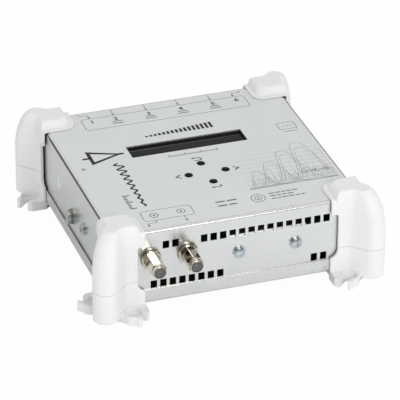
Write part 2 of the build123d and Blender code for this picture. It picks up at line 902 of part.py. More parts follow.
def corner_cap():
    """Upper half of a corner bracket: wings, leaning lobe, flange and dome."""
    parting = stand_height + parting_height
    cap = cap_lobe() + cap_flange()
    cap -= case_envelope(parting - over, film_top + fit)
    window = bracket_window()
    relief = wing_relief(parting - over, film_top)
    bore_top = stand_height + bore_height
    bore = rod((lobe_centre, lobe_centre, parting - over), (0, 0, 1), bore_top - parting + over,
               lobe_radius - lobe_wall)
    seam = block((-2 * cap_reach, 2 * cap_reach), (-2 * cap_reach, 2 * cap_reach),
                 (parting - over, parting + parting_gap))
    for cut in (window, across(window), relief, across(relief), bore, seam):
        cap -= cut
    return cap


def fork():
    """Forked slot plate on one side of the corner's diagonal."""
    outline = Polyline((0, -fork_outer), (fork_length, -fork_outer), (fork_length, fork_inner),
                       (0, fork_inner), close=True)
    plate = extrude(make_face(outline), fork_thickness)
    plate = fillet(plate.edges().filter_by(Axis.Z).sort_by(SortBy.DISTANCE)[-2:], prong_round)
    slot_x = fork_length - slot_depth
    plate += rod((slot_x, slot_shift, 0), (0, 0, 1), fork_thickness, pocket_radius + pocket_wall)
    plate -= block((slot_x, fork_length + over), span(slot_shift, slot_width), (-over, fork_thickness + over))
    plate -= rod((slot_x, slot_shift, -over), (0, 0, 1), fork_thickness + 2 * over, slot_width / 2)
    plate -= rod((slot_x, slot_shift, fork_thickness - pocket_depth), (0, 0, 1), pocket_depth + over,
                 pocket_radius)
    plate = Rot(0, 0, 135) * plate
    return plate & block((-foot_reach, cap_reach), (-foot_reach, cap_reach), (0, fork_thickness))


def corner_foot():
    """Lower half of a corner bracket: floor under the tray, lobe, wings and two forks."""
    base = stand_height - foot_floor
    parting = stand_height + parting_height
    foot = extrude(bracket_outline(base, foot_reach, foot_round), parting - base)
    plate = fork()
    foot = foot + plate + across(plate)
    foot -= case_envelope(stand_height - seat, parting + over)
    rim_high = stand_height + strip_height + fit
    foot -= case_envelope(stand_height - seat, rim_high, nest_gap + sheet + close_fit)
    window = bracket_window()
    relief = wing_relief(stand_height, parting + over)
    for cut in (window, across(window), relief, across(relief)):
        foot -= cut
    outer = lobe_radius - lobe_wall - close_fit
    foot += ring((lobe_centre, lobe_centre, parting), (0, 0, 1), spigot_height, outer, outer - spigot_wall)
    return foot


def at_corner(shape, side):
    """Place a bracket piece, made at the rear right corner, at a corner."""
    placed = Pos(half_width, half_depth, 0) * shape
    if side[0] < 0:
        placed = mirror(placed, Plane.YZ)
    if side[1] < 0:
        placed = mirror(placed, Plane.XZ)
    return placed


def write_case():
    write("top_cover", top_cover())
    write("label_film", label_film())
    write("bottom_tray", bottom_tray())
    cap = corner_cap()
    foot = corner_foot()
    for name, side in corners.items():
        write(name + "_cap", at_corner(cap, side))
        write(name + "_foot", at_corner(foot, side))


def write_sockets():
    places = socket_places()
    names = ["test_point_socket", "output_socket"]
    names += ["input_socket_%d" % (index + 1) for index in range(rear_socket_count)]
    for name, place in zip(names, socket_places(barrel_turns)):
        write(name, socket_body(*place))
    write("socket_insulators", group([socket_insulator(*place) for place in places]))
    write("socket_contacts", group([socket_contact(*place) for place in places]))
    write("socket_washers", group([socket_washer(*place) for place in places]))
    write("socket_nuts", group([socket_nut(*place) for place in places]))


def write_fasteners():
    front = [((x, -half_depth, stand_height + sink_screw_height), (0, -1, 0)) for x in sink_screw_x]
    sides = [((side * half_width, side_screw_y, stand_height + side_screw_height), (side, 0, 0))
             for side in (-1, 1)]
    write("heat_sink_screws", group([case_screw(*place) for place in front]))
    write("side_screws", group([case_screw(*place) for place in sides]))
    write("screw_washers", group([case_washer(*place) for place in front + sides]))
    write("ground_base_washer", ground_base_washer())
    write("ground_clamp_washers", ground_clamp_washers())
    write("ground_screw", ground_screw())
    write("ground_nut", ground_nut())


def write_boards():
    write("main_board", main_board())
    write("board_standoffs", standoffs(board_holes(), stand_height + sheet, board_under))
    write("board_screws", board_screws(board_holes(), board_top, (0, 0, 1), 2 * board_thickness))
    write("key_board", key_board())
    write("key_board_standoffs", standoffs(key_board_holes(), key_board_top, lid_under))
    write("key_board_screws", board_screws(key_board_holes(), key_board_under, (0, 0, -1),
                                           2 * board_thickness))
    write("display_frame", display_frame())
    write("display_glass", display_glass())
    write("display_module", display_module())
    write("board_header", board_header())
    write("heat_sink", heat_sink())
    write("power_transistor", power_transistor())
    write("shield_cans", shield_cans())
    write("capacitors", capacitors())
    write("coils", coils())
    write("chips", chips())
    write("power_jack", power_jack())
    write("jack_pin", jack_pin())
    write("data_port", data_port())
    write("data_port_tongue", data_port_tongue())


def write_keys():
    write("key_switches", group([key_switch(x, y) for x, y in key_places.values()]))
    for name, (x, y) in key_places.items():
        write(name + "_button", key_cap(x, y))
        write(name + "_plunger", key_plunger(x, y))


os.makedirs("parts", exist_ok=True)
write_case()
write_sockets()
write_fasteners()
write_boards()
write_keys()
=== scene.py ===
import json
from math import acos, cos, pi, radians, sin

import bpy
from mathutils import Matrix, Vector


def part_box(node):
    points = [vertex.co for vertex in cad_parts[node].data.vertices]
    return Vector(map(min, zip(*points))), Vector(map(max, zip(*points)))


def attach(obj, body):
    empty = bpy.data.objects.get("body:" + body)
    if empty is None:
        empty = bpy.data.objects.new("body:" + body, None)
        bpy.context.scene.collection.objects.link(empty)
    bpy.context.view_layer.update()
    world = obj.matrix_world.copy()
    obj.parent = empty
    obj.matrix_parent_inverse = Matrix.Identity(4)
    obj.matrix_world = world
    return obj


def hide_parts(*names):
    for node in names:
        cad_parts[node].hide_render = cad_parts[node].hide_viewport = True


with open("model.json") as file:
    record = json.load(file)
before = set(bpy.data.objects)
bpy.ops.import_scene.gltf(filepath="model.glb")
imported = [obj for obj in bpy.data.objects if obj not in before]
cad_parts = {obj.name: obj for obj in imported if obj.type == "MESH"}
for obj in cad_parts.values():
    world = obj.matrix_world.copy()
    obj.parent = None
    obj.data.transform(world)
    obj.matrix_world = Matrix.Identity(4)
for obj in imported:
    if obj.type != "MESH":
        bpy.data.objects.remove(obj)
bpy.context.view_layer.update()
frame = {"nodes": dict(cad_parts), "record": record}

MM = 0.001


def ends(node, axis, start=0.0):
    """Both ends of a CAD node along an axis, in millimetres from a start."""
    return [round(corner[axis] / MM - start, 3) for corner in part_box(node)]


# Levels and places on the case, in millimetres
HALF_X = ends("top_cover", 0)[1]
HALF_Y = ends("top_cover", 1)[1]
FILM_TOP = ends("label_film", 2)[1]
INK_RISE = 0.02
TRAY_RIM_BELOW = 30

# Sockets: heights from the wall outwards and radii in millimetres, turns in degrees
SOCKETS = ["test_point_socket", "output_socket"] + ["input_socket_%d" % (i + 1) for i in range(6)]
BLOCK_BACK, SOCKET_REACH = ends("input_socket_1", 1, HALF_Y)
BLOCK_HALF_X = 5.2
BLOCK_HALF_Z = 5.4
FLANGE_RADIUS = 7.0
FLANGE_BACK = -3.0
TAIL_RADIUS = 0.95
BARREL_RADIUS = 4.76
BARREL_SIDES = 6
BARREL_BACK = -1.0
BARREL_COLLAR = 2.6
BARREL_TURNS = [40.0, 16.0, 42.0, 14.0, 57.0, 36.0, 21.0, 48.0]
HEX_RADIUS = 5.95
HEX_FLAT = 5.32
SHOULDER_LIFT = 0.25
SHOULDER_SLOPE = 0.8
THREAD_FLAT = 4.28
THREAD_PITCH = 25.4 / 32
THREAD_DEPTH = 0.16
THREAD_GAP = 0.02
RINGS_PER_THREAD = 6
BORE_RADIUS = 3.9
BORE_GAP = 0.02
BORE_DEPTH = 13.9

# Outlines of the mouth and of the insulator's lip: radius and depth below the socket's end
MOUTH_OUTLINE = [(4.93, BARREL_COLLAR), (4.93, 0.65), (4.86, 0.42), (4.66, 0.10), (4.50, 0.0),
                 (4.30, 0.0), (4.22, 0.08), (4.20, 0.3), (BORE_RADIUS + BORE_GAP, 0.3),
                 (BORE_RADIUS + BORE_GAP, BORE_DEPTH)]
LIP_OUTLINE = [(3.93, 1.7), (4.21, 0.32), (4.21, 0.10), (4.14, 0.04), (4.0, 0.04), (3.93, 0.10),
               (3.93, 1.7)]

# Nuts: they start and end a hair further out than the CAD's
NUT_LIFT = 0.1
WASHER_TOP = ends("socket_washers", 1, HALF_Y)[1] + NUT_LIFT
NUT_TOP = ends("socket_nuts", 1, HALF_Y)[1] + NUT_LIFT
NUT_FLAT = 7.0
NUT_HOLE = 4.82
NUT_FACE_INSET = 0.15
NUT_CONE_SLOPE = 1.9
NUT_LEVELS = (0.0, 0.08, 0.17, 0.25, 0.75, 0.83, 0.92, 1.0)
NUT_TURNS = [16.0, 11.0, 52.0, 24.0, 5.0, 38.0, 47.0, 30.0]
STEPS_AROUND = 48


def set_stops(node, stops):
    """Give a colour ramp its stops."""
    elements = node.color_ramp.elements
    while len(elements) < len(stops):
        elements.new(0.5)
    for element, (place, color) in zip(elements, stops):
        element.position = place
        element.color = (*color, 1)


class Paint:
    """A Principled material whose patterns lie in the object's own space, in metres."""

    def __init__(self, name, metallic=0.0, specular=0.5):
        self.material = bpy.data.materials.new(name)
        self.material.use_nodes = True
        self.tree = self.material.node_tree
        self.shader = self.tree.nodes["Principled BSDF"]
        self.shader.inputs["Metallic"].default_value = metallic
        self.shader.inputs["Specular IOR Level"].default_value = specular
        self.space = self.add("ShaderNodeTexCoord").outputs["Object"]
        self.normal = None

    def add(self, kind, **settings):
        node = self.tree.nodes.new(kind)
        for key, value in settings.items():
            setattr(node, key, value)
        return node

    def link(self, output, socket):
        self.tree.links.new(output, socket)

    def stretched(self, stretch):
        node = self.add("ShaderNodeMapping")
        node.inputs["Scale"].default_value = stretch
        self.link(self.space, node.inputs["Vector"])
        return node.outputs["Vector"]

    def noise(self, size, stretch=(1, 1, 1), detail=3.0, roughness=0.55):
        """Noise with features of about that size in millimetres."""
        node = self.add("ShaderNodeTexNoise")
        node.inputs["Scale"].default_value = 1 / (size * MM)
        node.inputs["Detail"].default_value = detail
        node.inputs["Roughness"].default_value = roughness
        self.link(self.stretched(stretch), node.inputs["Vector"])
        return node.outputs["Fac"]

    def cell_edges(self, size):
        """Distance to the edge of cells of about that size in millimetres."""
        node = self.add("ShaderNodeTexVoronoi", feature="DISTANCE_TO_EDGE")
        node.inputs["Scale"].default_value = 1 / (size * MM)
        self.link(self.space, node.inputs["Vector"])
        return node.outputs["Distance"]

    def axis(self, index):
        node = self.add("ShaderNodeSeparateXYZ")
        self.link(self.space, node.inputs["Vector"])
        return node.outputs[index]

    def facing(self):
        """The three parts of the surface direction in the object's own space."""
        node = self.add("ShaderNodeSeparateXYZ")
        self.link(self.add("ShaderNodeTexCoord").outputs["Normal"], node.inputs["Vector"])
        return node.outputs

    def math(self, operation, a, b=None):
        node = self.add("ShaderNodeMath", operation=operation)
        for socket, value in zip(node.inputs, (a, b)):
            if value is None:
                continue
            if isinstance(value, (int, float)):
                socket.default_value = value
            else:
                self.link(value, socket)
        return node.outputs["Value"]

    def spread(self, value, low, high, from_low=0.3, from_high=0.7):
        """A value between two levels stretched to lie between low and high."""
        node = self.add("ShaderNodeMapRange")
        node.inputs["From Min"].default_value = from_low
        node.inputs["From Max"].default_value = from_high
        node.inputs["To Min"].default_value = low
        node.inputs["To Max"].default_value = high
        self.link(value, node.inputs["Value"])
        return node.outputs["Result"]

    def ramp(self, value, stops):
        node = self.add("ShaderNodeValToRGB")
        set_stops(node, stops)
        self.link(value, node.inputs["Fac"])
        return node.outputs["Color"]

    def mix(self, factor, a, b):
        node = self.add("ShaderNodeMix", data_type="RGBA")
        sockets = [s for s in node.inputs if s.type == "RGBA"]
        for socket, value in zip(sockets, (a, b)):
            if isinstance(value, tuple):
                socket.default_value = (*value, 1)
            else:
                self.link(value, socket)
        self.link(factor, node.inputs["Factor"])
        return [s for s in node.outputs if s.type == "RGBA"][0]

    def color(self, output):
        self.link(output, self.shader.inputs["Base Color"])

    def rough(self, output):
        self.link(output, self.shader.inputs["Roughness"])

    def crevice(self, reach, low, high):
        """Rises to 1 in the corners that other surfaces close in within that reach in millimetres;
        the materials use it to paint shade there.
        """
        node = self.add("ShaderNodeAmbientOcclusion", samples=8)
        node.inputs["Distance"].default_value = reach * MM
        return self.spread(node.outputs["AO"], 1.0, 0.0, low, high)

    def rounded(self, radius):
        """Light catches the edges as if they were rounded by that radius in millimetres."""
        node = self.add("ShaderNodeBevel", samples=4)
        node.inputs["Radius"].default_value = radius * MM
        self.normal = node.outputs["Normal"]
        self.link(self.normal, self.shader.inputs["Normal"])

    def bump(self, height, depth):
        """Relief of that depth in millimetres."""
        node = self.add("ShaderNodeBump")
        node.inputs["Distance"].default_value = depth * MM
        node.inputs["Strength"].default_value = 1.0
        self.link(height, node.inputs["Height"])
        if self.normal is not None:
            self.link(self.normal, node.inputs["Normal"])
        self.normal = node.outputs["Normal"]
        self.link(self.normal, self.shader.inputs["Normal"])


def grey(value, warm=0.0):
    """A grey with a warm or a cool cast."""
    return (value * (1 + warm), value, value * (1 - warm))


def zinc_sheet():
    """Zinc-coated sheet, with painted shade in its seams, in its gaps and on the top of the tray rim,
    and a painted dark reflection along the side folds.
    """
    paint = Paint("zinc_sheet", metallic=0.85)
    patches = paint.noise(22, detail=4)
    streaks = paint.noise(1.6, stretch=(0.06, 0.06, 1), detail=2)
    grain = paint.noise(0.5, detail=2)
    base = paint.ramp(patches, [(0.3, (0.780, 0.800, 0.795)), (0.7, (0.825, 0.841, 0.832))])
    base = paint.mix(paint.spread(streaks, 0.0, 0.35), base, (0.73, 0.74, 0.74))
    # Painted shade: near black in seams and narrow gaps, where other surfaces close in within 1.2 mm
    base = paint.mix(paint.crevice(1.2, 0.30, 0.62), base, (0.16, 0.16, 0.14))
    # Painted shade: black inside the closed box and in the gaps behind the bracket wings, where
    # surfaces close in within 40 mm
    base = paint.mix(paint.crevice(40, 0.06, 0.26), base, (0.02, 0.02, 0.02))
    # Painted dark reflection along the side folds, where the surface faces half sideways and half up
    across, _, up = paint.facing()
    fold_dark_reflection = paint.math("ABSOLUTE", paint.math("MULTIPLY", across, up))
    base = paint.mix(paint.spread(fold_dark_reflection, 0.0, 0.8, 0.28, 0.46), base, (0.12, 0.12, 0.10))
    # Painted shade on the upward top face of the tray rim, in the seam below the cover's walls;
    # darkest along the front, where it also takes down the rim's highlight
    low = paint.math("LESS_THAN", paint.axis(2), TRAY_RIM_BELOW * MM)
    rim_top_shade = paint.math("MULTIPLY", low, paint.math("GREATER_THAN", up, 0.6))
    front = paint.math("LESS_THAN", paint.axis(1), -HALF_Y * MM)
    rim_shade_colour = paint.mix(front, (0.24, 0.23, 0.20), (0.60, 0.60, 0.57))
    paint.color(paint.mix(rim_top_shade, base, rim_shade_colour))
    paint.rough(paint.spread(grain, 0.23, 0.32))
    paint.rounded(0.12)
    paint.bump(grain, 0.012)
    paint.bump(patches, 0.10)
    return paint.material


def label_film():
    """Satin printed film."""
    paint = Paint("label_film", specular=0.45)
    tone = paint.noise(40, detail=2)
    speckle = paint.noise(0.35, detail=2)
    base = paint.ramp(tone, [(0.3, (0.705, 0.724, 0.712)), (0.7, (0.730, 0.747, 0.734))])
    paint.color(paint.mix(paint.spread(speckle, 0.0, 0.12), base, (0.60, 0.61, 0.60)))
    paint.rough(paint.spread(speckle, 0.36, 0.46))
    paint.bump(speckle, 0.010)
    return paint.material


def bracket_plastic():
    """White moulded plastic with faint flow marks."""
    paint = Paint("bracket_plastic", specular=0.4)
    tone = paint.noise(30, detail=2)
    grain = paint.noise(0.45, detail=3, roughness=0.6)
    flow = paint.noise(9, stretch=(1, 1, 0.35), detail=3)
    base = paint.ramp(tone, [(0.3, (0.822, 0.825, 0.815)), (0.7, (0.852, 0.853, 0.844))])
    paint.color(paint.mix(paint.spread(flow, 0.0, 0.10), base, (0.78, 0.78, 0.765)))
    paint.rough(paint.spread(grain, 0.40, 0.56))
    paint.rounded(0.45)
    paint.bump(grain, 0.025)
    return paint.material


def nickel():
    """Warm nickel plating, with painted shade where pieces meet."""
    paint = Paint("nickel", metallic=1.0)
    wear = paint.noise(1.8, detail=4)
    fine = paint.noise(0.25, detail=2)
    base = paint.ramp(wear, [(0.30, (0.55, 0.49, 0.38)), (0.52, (0.68, 0.64, 0.54)),
                             (0.75, (0.80, 0.77, 0.70))])
    # Painted shade: dark brown where the nut, washers, barrel and wall close in within 1.4 mm
    paint.color(paint.mix(paint.crevice(1.4, 0.35, 0.88), base, (0.09, 0.075, 0.045)))
    paint.rough(paint.spread(fine, 0.10, 0.18))
    paint.rounded(0.08)
    paint.bump(fine, 0.004)
    return paint.material


def blue_zinc():
    """Blue passivated zinc of the screws."""
    paint = Paint("blue_zinc", metallic=1.0)
    haze = paint.noise(2.2, detail=3)
    fine = paint.noise(0.3, detail=2)
    paint.color(paint.ramp(haze, [(0.3, (0.50, 0.56, 0.60)), (0.7, (0.68, 0.72, 0.74))]))
    paint.rough(paint.spread(fine, 0.22, 0.36))
    paint.rounded(0.12)
    paint.bump(fine, 0.006)
    return paint.material


def washer_steel():
    """Brownish spring steel of the toothed washers."""
    paint = Paint("dark_spring_steel", metallic=1.0)
    wear = paint.noise(0.8, detail=3)
    paint.color(paint.ramp(wear, [(0.35, (0.36, 0.31, 0.24)), (0.75, (0.56, 0.52, 0.44))]))
    paint.rough(paint.spread(wear, 0.35, 0.5))
    paint.rounded(0.1)
    paint.bump(wear, 0.01)
    return paint.material


def plain_plastic(name, low, high, rough_low, rough_high, size=0.5, depth=0.01, specular=0.5):
    """Moulded plastic with a fine grain."""
    paint = Paint(name, specular=specular)
    grain = paint.noise(size, detail=3)
    tone = paint.noise(size * 14, detail=2)
    paint.color(paint.ramp(tone, [(0.3, low), (0.7, high)]))
    paint.rough(paint.spread(grain, rough_low, rough_high))
    paint.rounded(0.1)
    paint.bump(grain, depth)
    return paint.material


def plain_metal(name, low, high, rough_low, rough_high, size=1.5, stretch=(1, 1, 1)):
    """Plated or bare metal with a fine drawn or tumbled finish."""
    paint = Paint(name, metallic=1.0)
    finish = paint.noise(size, stretch=stretch, detail=4)
    paint.color(paint.ramp(finish, [(0.3, low), (0.7, high)]))
    paint.rough(paint.spread(finish, rough_low, rough_high))
    paint.rounded(0.1)
    paint.bump(finish, 0.008)
    return paint.material


def green_board():
    """Solder mask with copper runs showing through as lighter lines."""
    paint = Paint("green_board", specular=0.5)
    runs = paint.cell_edges(3.2)
    lines = paint.spread(runs, 1.0, 0.0, 0.02, 0.09)
    tone = paint.noise(12, detail=2)
    base = paint.ramp(tone, [(0.3, (0.006, 0.050, 0.030)), (0.7, (0.010, 0.075, 0.043))])
    paint.color(paint.mix(lines, base, (0.016, 0.130, 0.070)))
    paint.rough(paint.spread(tone, 0.26, 0.4))
    paint.bump(lines, 0.03)
    return paint.material


def display_pane():
    """Dark, faintly hazy pane in front of the display."""
    paint = Paint("display_pane", specular=0.08)
    haze = paint.noise(14, detail=2)
    paint.color(paint.ramp(haze, [(0.3, (0.006, 0.007, 0.007)), (0.7, (0.010, 0.011, 0.011))]))
    paint.rough(paint.spread(haze, 0.08, 0.14))
    return paint.material


def ink(name, low, high):
    """Matt printing ink."""
    paint = Paint(name, specular=0.3)
    dots = paint.noise(0.25, detail=2)
    paint.color(paint.ramp(dots, [(0.3, low), (0.7, high)]))
    paint.rough(paint.spread(dots, 0.45, 0.6))
    paint.bump(dots, 0.004)
    return paint.material


MATERIALS = {
    "case_zinc": zinc_sheet(),
    "label": label_film(),
    "bracket_plastic": bracket_plastic(),
    "nickel": nickel(),
    "insulator": plain_plastic("dielectric", grey(0.085), grey(0.125), 0.45, 0.6, size=0.4),
    "contact": plain_metal("contact_plate", (0.52, 0.47, 0.38), (0.70, 0.64, 0.52), 0.2, 0.34,
                           size=0.4),
    "zinc_screw": blue_zinc(),
    "tooth_washer": washer_steel(),
    "board_green": green_board(),
    "brass_post": plain_metal("brass_post", (0.50, 0.36, 0.14), (0.66, 0.50, 0.24), 0.24, 0.38),
    "black_button": plain_plastic("button_black", grey(0.003), grey(0.006), 0.40, 0.52,
                                  size=0.3, depth=0.006, specular=0.15),
    "black_plastic": plain_plastic("moulded_black", grey(0.012), grey(0.024), 0.42, 0.6, depth=0.015),
    "display_glass": display_pane(),
    "display_module": plain_plastic("display_back", grey(0.10), grey(0.15, 0.03), 0.4, 0.6),
    "heat_sink": plain_metal("drawn_aluminium", grey(0.66), grey(0.82, -0.01), 0.26, 0.4,
                             size=0.9, stretch=(0.05, 1, 1)),
    "can_tin": plain_metal("tinned_sheet", grey(0.60), grey(0.72, 0.01), 0.22, 0.36, size=3.0),
    "capacitor": plain_plastic("capacitor_sleeve", (0.010, 0.011, 0.020), (0.018, 0.020, 0.034),
                               0.2, 0.32),
    "coil": plain_plastic("coated_core", (0.20, 0.22, 0.15), (0.28, 0.30, 0.21), 0.35, 0.5,
                          size=0.6),
}


def dress_nodes():
    """Give each CAD node the finish of its material slot."""
    for part in frame["record"]["subparts"]:
        node = frame["nodes"][part["node"]]
        for slot in node.material_slots:
            slot.material = MATERIALS[part["material_slot"]]


def mesh_object(name, points, faces, material, smooth=False):
    """Object from points in millimetres."""
    mesh = bpy.data.meshes.new(name)
    mesh.from_pydata([Vector(p) * MM for p in points], [], faces)
    mesh.validate()
    mesh.update()
    mesh.materials.append(material)
    if smooth:
        mesh.polygons.foreach_set("use_smooth", [True] * len(mesh.polygons))
    piece = bpy.data.objects.new(name, mesh)
    bpy.context.scene.collection.objects.link(piece)
    return piece


# Sockets

def even_angles(count):
    return [2 * pi * k / count for k in range(count)]


def circle(radius, height, angles):
    return [(radius * cos(angle), radius * sin(angle), height) for angle in angles]


def ring_faces(rings, around, closed=False):
    """Quads from each ring of points to the next, and from the last to the first if closed."""
    faces = []
    for i in range(rings if closed else rings - 1):
        low = i * around
        high = (i + 1) % rings * around
        for j in range(around):
            beside = (j + 1) % around
            faces.append((low + j, low + beside, high + beside, high + j))
    return faces


def barrel_radius(height, angle):
    """Radius of the barrel: a right-hand thread with flats in the nut, a hexagon with rounded
    ridges beyond it, and a shoulder at its end."""
    sector = 2 * pi / BARREL_SIDES
    off_flat = (angle + sector / 2) % sector - sector / 2
    if height > NUT_TOP:
        left = SOCKET_REACH - BARREL_COLLAR - height
        shoulder = BARREL_RADIUS + SHOULDER_LIFT + SHOULDER_SLOPE * left
        return min(HEX_RADIUS, shoulder, HEX_FLAT / cos(off_flat))
    phase = (height / THREAD_PITCH - angle / (2 * pi)) % 1
    crest = min(1.0, 1.4 * abs(2 * phase - 1))
    thread = BARREL_RADIUS - THREAD_GAP - THREAD_DEPTH * (1 - crest)
    return min(thread, THREAD_FLAT / cos(off_flat))


def barrel_angles():
    """Angles around the barrel, closer together where a flat meets a ridge."""
    sector = 2 * pi / BARREL_SIDES
    edge = acos(HEX_FLAT / HEX_RADIUS)
    shares = (-1.0, -0.93, -0.85, -0.6, -0.3, 0.0, 0.3, 0.6, 0.85, 0.93, 1.0)
    offsets = [edge * share for share in shares]
    offsets += [edge + (sector - 2 * edge) * share for share in (0.33, 0.67)]
    return [sector * k + offset for k in range(BARREL_SIDES) for offset in offsets]


def build_barrel(name, turn):
    """Barrel of a socket with its mouth, and the flange and block behind the wall."""
    angles = barrel_angles()
    end = SOCKET_REACH - BARREL_COLLAR
    length = end - BARREL_BACK
    steps = int(length / THREAD_PITCH * RINGS_PER_THREAD)
    rings = [circle(TAIL_RADIUS, FLANGE_BACK, angles), circle(FLANGE_RADIUS, FLANGE_BACK, angles),
             circle(FLANGE_RADIUS, BARREL_BACK, angles), circle(BARREL_RADIUS, BARREL_BACK, angles)]
    for i in range(steps + 1):
        height = BARREL_BACK + length * i / steps
        radii = [barrel_radius(height, angle) for angle in angles]
        rings.append([(radius * cos(angle), radius * sin(angle), height)
                      for radius, angle in zip(radii, angles)])
    for radius, depth in MOUTH_OUTLINE:
        rings.append(circle(radius, SOCKET_REACH - depth, angles))
    faces = ring_faces(len(rings), len(angles))
    twist = Matrix.Rotation(radians(turn), 3, "Z")
    points = [tuple(twist @ Vector(p)) for ring in rings for p in ring]
    first = len(points)
    points += [(x, y, z) for z in (BLOCK_BACK, FLANGE_BACK)
               for x, y in ((-BLOCK_HALF_X, -BLOCK_HALF_Z), (BLOCK_HALF_X, -BLOCK_HALF_Z),
                            (BLOCK_HALF_X, BLOCK_HALF_Z), (-BLOCK_HALF_X, BLOCK_HALF_Z))]
    faces += [tuple(first + i for i in quad) for quad in
              ((3, 2, 1, 0), (4, 5, 6, 7), (0, 1, 5, 4), (1, 2, 6, 5), (2, 3, 7, 6), (3, 0, 4, 7))]
    return mesh_object(name, points, faces, MATERIALS["nickel"], smooth=True)


def build_nut(turn):
    """Points and faces of a hex nut on its washer, both faces turned to a cone."""
    angles = even_angles(STEPS_AROUND)
    thickness = NUT_TOP - WASHER_TOP
    rings = []
    for level in NUT_LEVELS:
        rise = thickness * level
        cone = NUT_FLAT - NUT_FACE_INSET + NUT_CONE_SLOPE * min(rise, thickness - rise)
        rings.append([(min(cone, NUT_FLAT / cos((angle + pi / 6) % (pi / 3) - pi / 6)), angle,
                       WASHER_TOP + rise) for angle in angles])
    for height in (NUT_TOP, WASHER_TOP):
        rings.append([(NUT_HOLE, angle, height) for angle in angles])
    points = [(radius * cos(angle + radians(turn)), radius * sin(angle + radians(turn)), height)
              for ring in rings for radius, angle, height in ring]
    return points, ring_faces(len(rings), len(angles), closed=True)


def build_lip(name):
    """Front edge of the insulator, which lines the mouth of the barrel."""
    angles = even_angles(STEPS_AROUND)
    points = [p for radius, depth in LIP_OUTLINE
              for p in circle(radius, SOCKET_REACH - depth, angles)]
    faces = ring_faces(len(LIP_OUTLINE), len(angles))
    return mesh_object(name, points, faces, MATERIALS["insulator"], smooth=True)


def sharpen(piece, angle=20.0):
    """Flat shading across edges sharper than the angle."""
    piece.data.set_sharp_from_angle(angle=radians(angle))


def add_sockets():
    """Two sockets on the front wall and a row on the rear wall, each with its lip and nut."""
    nut_points = []
    nut_faces = []
    for node, turn, nut_turn in zip(SOCKETS, BARREL_TURNS, NUT_TURNS):
        barrel = build_barrel(node + "_thread", turn)
        lip = build_lip(node + "_lip")
        sharpen(barrel)
        sharpen(lip)
        x, y, z = [sum(ends(node, axis)) / 2 for axis in range(3)]
        side = -1 if y < 0 else 1
        out = Vector((0, side, 0))
        across = Vector((1, 0, 0))
        up = out.cross(across)
        matrix = Matrix((across, up, out)).transposed().to_4x4()
        matrix.translation = Vector((x, side * HALF_Y, z)) * MM
        barrel.matrix_world = matrix
        lip.matrix_world = matrix
        points, faces = build_nut(nut_turn)
        first = len(nut_points)
        nut_points += [tuple((matrix @ (Vector(p) * MM)) / MM) for p in points]
        nut_faces += [tuple(first + i for i in face) for face in faces]
        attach(lip, "case")
        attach(barrel, "case")
        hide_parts(node)
    nuts = mesh_object("socket_hex_nuts", nut_points, nut_faces, MATERIALS["nickel"], smooth=True)
    sharpen(nuts)
    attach(nuts, "case")
    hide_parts("socket_nuts")


# Print on the label film and on the left wall

class Print:
    """Flat ink shapes, gathered into one piece."""

    def __init__(self, level=FILM_TOP + INK_RISE):
        self.level = level
        self.points = []
        self.faces = []

    def polygon(self, outline):
        first = len(self.points)
        self.points += [(x, y, self.level) for x, y in outline]
        self.faces.append(tuple(range(first, first + len(outline))))

    def stroke(self, path, width, closed=False):
        """A line of that width through the points, mitred at its corners."""
        path = [Vector(p) for p in path]
        count = len(path)
        sides = []
        for i, p in enumerate(path):
            before = path[i - 1] if i > 0 or closed else None
            after = path[(i + 1) % count] if i < count - 1 or closed else None
            a = (p - before).normalized() if before is not None else (after - p).normalized()
            b = (after - p).normalized() if after is not None else a
            tangent = (a + b).normalized() if (a + b).length > 1e-6 else a
            normal = Vector((-tangent.y, tangent.x))
            stretch = max(0.5, normal.dot(Vector((-a.y, a.x))))
            sides.append((p + normal * width / 2 / stretch, p - normal * width / 2 / stretch))
        for i in range(count if closed else count - 1):
            a, b = sides[i], sides[(i + 1) % count]
            self.polygon([tuple(a[0]), tuple(a[1]), tuple(b[1]), tuple(b[0])])

    def ring(self, centre, radius, width, start=0.0, end=360.0, steps=40):
        span = radians(end - start)
        closed = end - start >= 360
        count = steps if closed else steps + 1
        path = [(centre[0] + radius * cos(radians(start) + span * i / steps),
                 centre[1] + radius * sin(radians(start) + span * i / steps)) for i in range(count)]
        self.stroke(path, width, closed)

    def dot(self, centre, radius, steps=20):
        self.polygon([(centre[0] + radius * cos(2 * pi * i / steps),
                       centre[1] + radius * sin(2 * pi * i / steps)) for i in range(steps)])

    def box(self, low, high, radius, width):
        """Outline of a rectangle with rounded corners."""
        path = []
        left, right = low[0] + radius, high[0] - radius
        bottom, top = low[1] + radius, high[1] - radius
        corners = ((right, top, 0), (left, top, 90), (left, bottom, 180), (right, bottom, 270))
        for cx, cy, start in corners:
            for i in range(6):
                angle = radians(start + 90 * i / 5)
                path.append((cx + radius * cos(angle), cy + radius * sin(angle)))
        self.stroke(path, width, closed=True)

    def bar(self, low, high):
        self.polygon([low, (high[0], low[1]), high, (low[0], high[1])])

    def head(self, tip, direction, size):
        """Filled arrow head."""
        d = Vector(direction).normalized()
        n = Vector((-d.y, d.x))
        t = Vector(tip)
        back = t - d * size
        self.polygon([tuple(t), tuple(back + n * size * 0.5), tuple(back - n * size * 0.5)])

    def piece(self, name, material, body="case"):
        made = mesh_object(name, self.points, self.faces, material)
        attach(made, body)


INK_DARK = ink("ink_dark", grey(0.020), grey(0.045))
INK_MID = ink("ink_mid", grey(0.09), grey(0.15))
INK_LIGHT = ink("ink_light", grey(0.24), grey(0.32))
INK_WHITE = ink("ink_white", grey(0.90), grey(0.96))

# Places of the print, in millimetres
PORT_X = (-55.5, -37.5, -12.0, 13.0, 38.0, 56.5)
NUMBER_Y = 71.8
NUMBER_SIZE = 6.4
NUMBER_BOLD = 0.14
EARTH_Y = 36.9
EARTH_Z = 38.4


